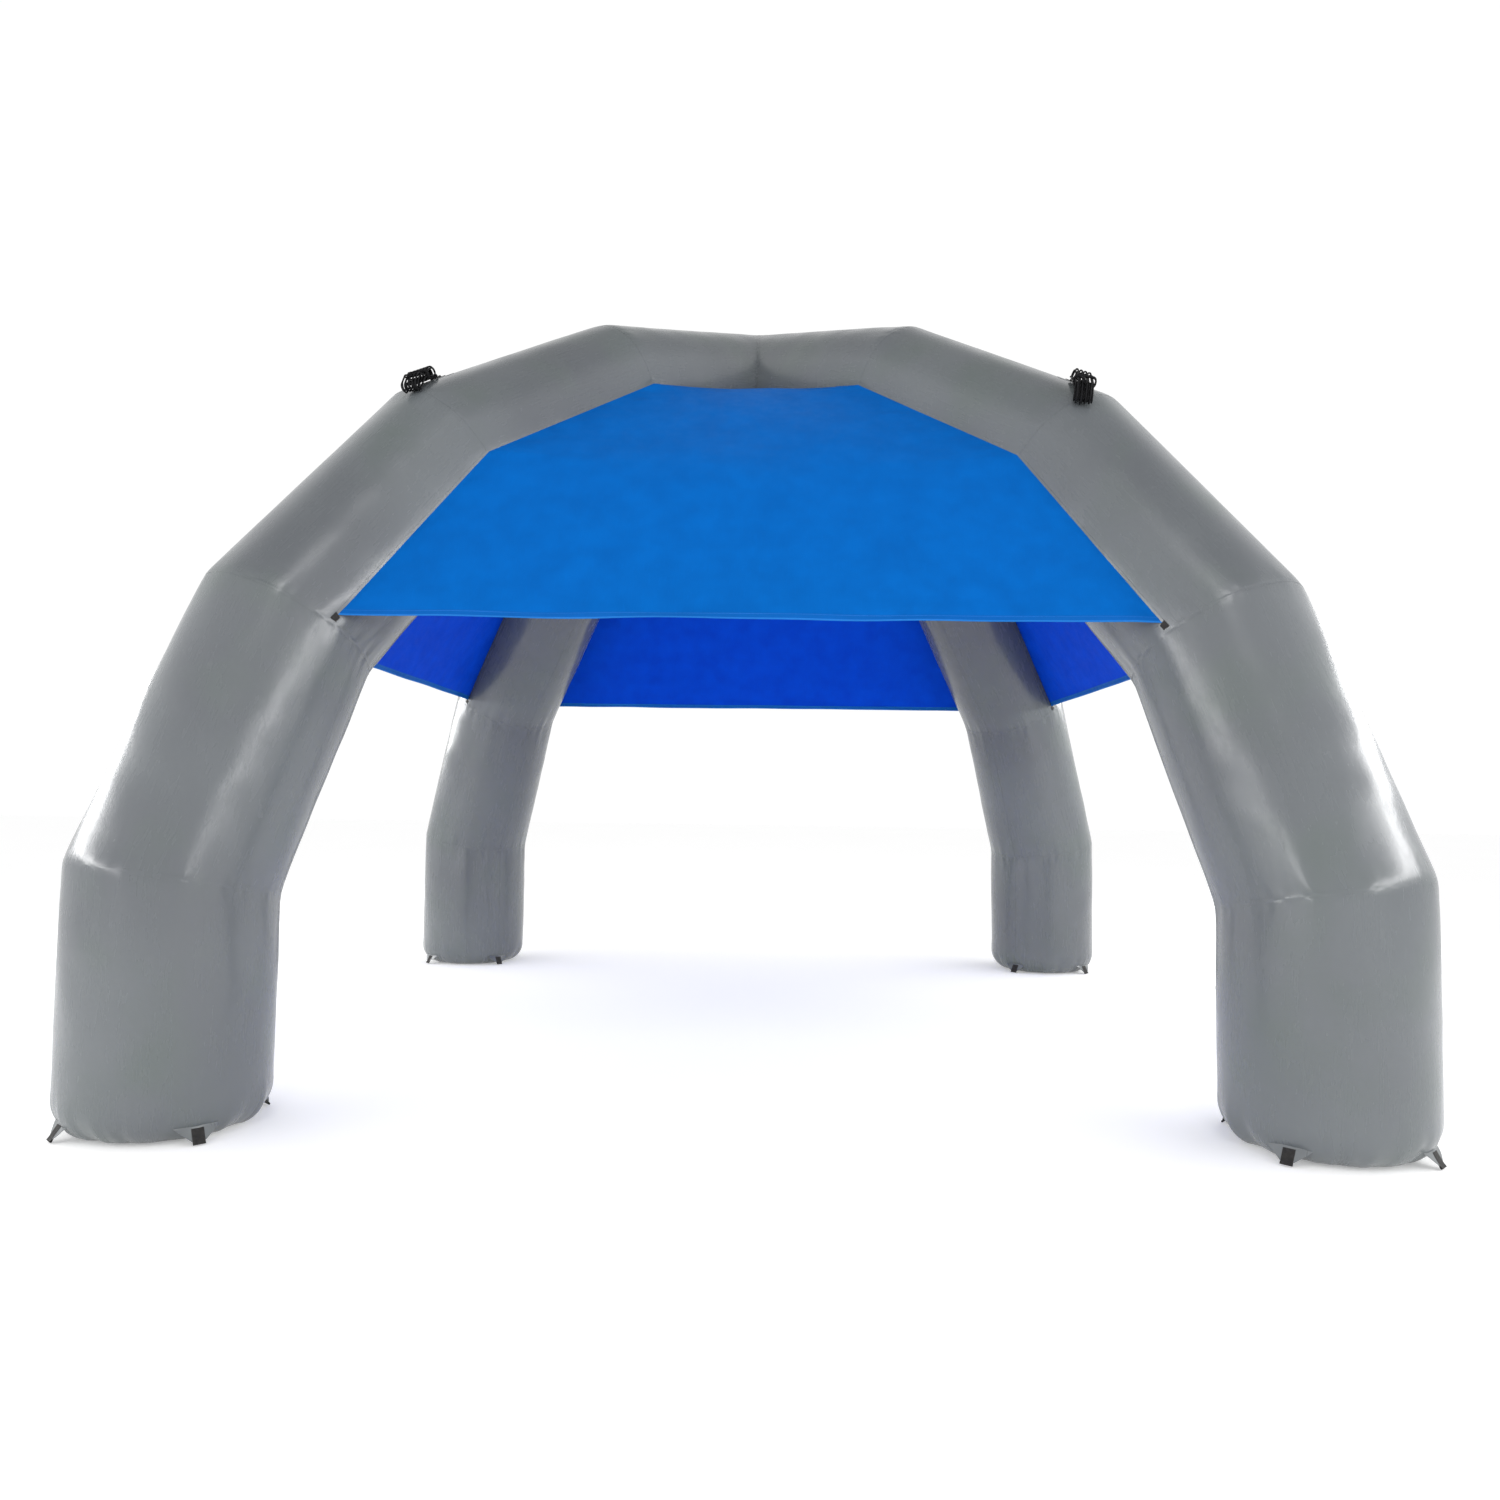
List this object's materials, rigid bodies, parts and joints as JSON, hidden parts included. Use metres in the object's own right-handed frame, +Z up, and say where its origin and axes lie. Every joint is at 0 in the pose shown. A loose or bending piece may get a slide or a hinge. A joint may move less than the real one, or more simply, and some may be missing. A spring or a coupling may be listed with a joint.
{
  "type": "inflatable event tent",
  "caption": "Inflatable event tent with legs of welded air tubes that meet at a crown, and canopy panels stretched between them.",
  "frame": {"origin": "on the floor, midway between the feet", "axes": "+Z up, the front faces -Y, the legs stand on the diagonals of the XY plane"},
  "size_m": [6.0066, 6.0066, 4.6618],
  "materials": {
    "grey_pvc": "satin",
    "grey_pvc_patch": "satin",
    "blue_canopy": "satin",
    "blue_hem_tape": "satin",
    "black_webbing": "matte",
    "black_rope": "matte",
    "ring_steel": "satin",
    "spring_steel": "satin",
    "valve_plastic": "satin",
    "valve_light_plastic": "satin",
    "leash_plastic": "matte"
  },
  "bodies": {
    "tent": {"anchor_tabs": "grey_pvc_patch", "anchor_webbing_loops": "black_webbing", "back_canopy_panel": "blue_canopy", "back_canopy_weld_strips": "grey_pvc", "back_left_crown_tube": "grey_pvc", "back_left_foot_cap": "grey_pvc", "back_left_haunch_tube": "grey_pvc", "back_left_knee_tube": "grey_pvc", "back_left_lower_tube": "grey_pvc", "back_left_shoulder_tube": "grey_pvc", "back_right_crown_tube": "grey_pvc", "back_right_foot_cap": "grey_pvc", "back_right_haunch_tube": "grey_pvc", "back_right_knee_tube": "grey_pvc", "back_right_lower_tube": "grey_pvc", "back_right_shoulder_tube": "grey_pvc", "canopy_corner_tabs": "black_webbing", "canopy_hems": "blue_hem_tape", "front_canopy_panel": "blue_canopy", "front_canopy_weld_strips": "grey_pvc", "front_left_crown_tube": "grey_pvc", "front_left_foot_cap": "grey_pvc", "front_left_haunch_tube": "grey_pvc", "front_left_knee_tube": "grey_pvc", "front_left_lower_tube": "grey_pvc", "front_left_shoulder_tube": "grey_pvc", "front_right_crown_tube": "grey_pvc", "front_right_foot_cap": "grey_pvc", "front_right_haunch_tube": "grey_pvc", "front_right_knee_tube": "grey_pvc", "front_right_lower_tube": "grey_pvc", "front_right_shoulder_tube": "grey_pvc", "guy_patches": "grey_pvc_patch", "guy_ring_keepers": "black_webbing", "inflation_cap_leash": "leash_plastic", "inflation_valve_body": "valve_plastic", "inflation_valve_spring": "spring_steel", "left_canopy_panel": "blue_canopy", "left_canopy_weld_strips": "grey_pvc", "relief_valve_body": "valve_plastic", "relief_valve_cover": "valve_plastic", "relief_valve_spring": "spring_steel", "right_canopy_panel": "blue_canopy", "right_canopy_weld_strips": "grey_pvc", "valve_backing_nuts": "valve_plastic", "valve_patches": "grey_pvc_patch"},
    "front_right_guy_point": {"front_right_guy_ring": "ring_steel", "front_right_guy_rope_hank": "black_rope"},
    "back_right_guy_point": {"back_right_guy_ring": "ring_steel", "back_right_guy_rope_hank": "black_rope"},
    "back_left_guy_point": {"back_left_guy_ring": "ring_steel", "back_left_guy_rope_hank": "black_rope"},
    "front_left_guy_point": {"front_left_guy_ring": "ring_steel", "front_left_guy_rope_hank": "black_rope"},
    "inflation_cap": {"inflation_valve_cap": "valve_plastic"},
    "inflation_poppet": {"inflation_valve_poppet": "valve_light_plastic"},
    "relief_poppet": {"relief_valve_poppet": "valve_light_plastic"}
  },
  "joints": [
    {"name": "front_right_guy_ring_hinge", "type": "hinge", "parent": "tent", "child": "front_right_guy_point", "pos_m": [1.69739, -1.69739, 3.7217], "axis": [-0.7071, -0.7071, 0], "range_deg": [0, 75]},
    {"name": "back_right_guy_ring_hinge", "type": "hinge", "parent": "tent", "child": "back_right_guy_point", "pos_m": [1.69739, 1.69739, 3.7217], "axis": [0.7071, -0.7071, 0], "range_deg": [0, 75]},
    {"name": "back_left_guy_ring_hinge", "type": "hinge", "parent": "tent", "child": "back_left_guy_point", "pos_m": [-1.69739, 1.69739, 3.7217], "axis": [0.7071, 0.7071, 0], "range_deg": [0, 75]},
    {"name": "front_left_guy_ring_hinge", "type": "hinge", "parent": "tent", "child": "front_left_guy_point", "pos_m": [-1.69739, -1.69739, 3.7217], "axis": [-0.7071, 0.7071, 0], "range_deg": [0, 75]},
    {"name": "inflation_cap_turn", "type": "hinge", "parent": "tent", "child": "inflation_cap", "pos_m": [2.23802, -2.23802, 0.62], "axis": [-0.7071, 0.7071, 0], "range_deg": [0, 90]},
    {"name": "inflation_poppet_press", "type": "slide", "parent": "tent", "child": "inflation_poppet", "axis": [0.7071, -0.7071, 0], "range_m": [0, 0.006], "stiffness_N_per_m": 900, "springref_m": -0.002, "deforming": ["inflation_valve_spring"]},
    {"name": "relief_poppet_lift", "type": "slide", "parent": "tent", "child": "relief_poppet", "axis": [-0.7071, 0.7071, 0], "range_m": [0, 0.004], "stiffness_N_per_m": 1500, "springref_m": -0.003, "deforming": ["relief_valve_spring"]}
  ]
}
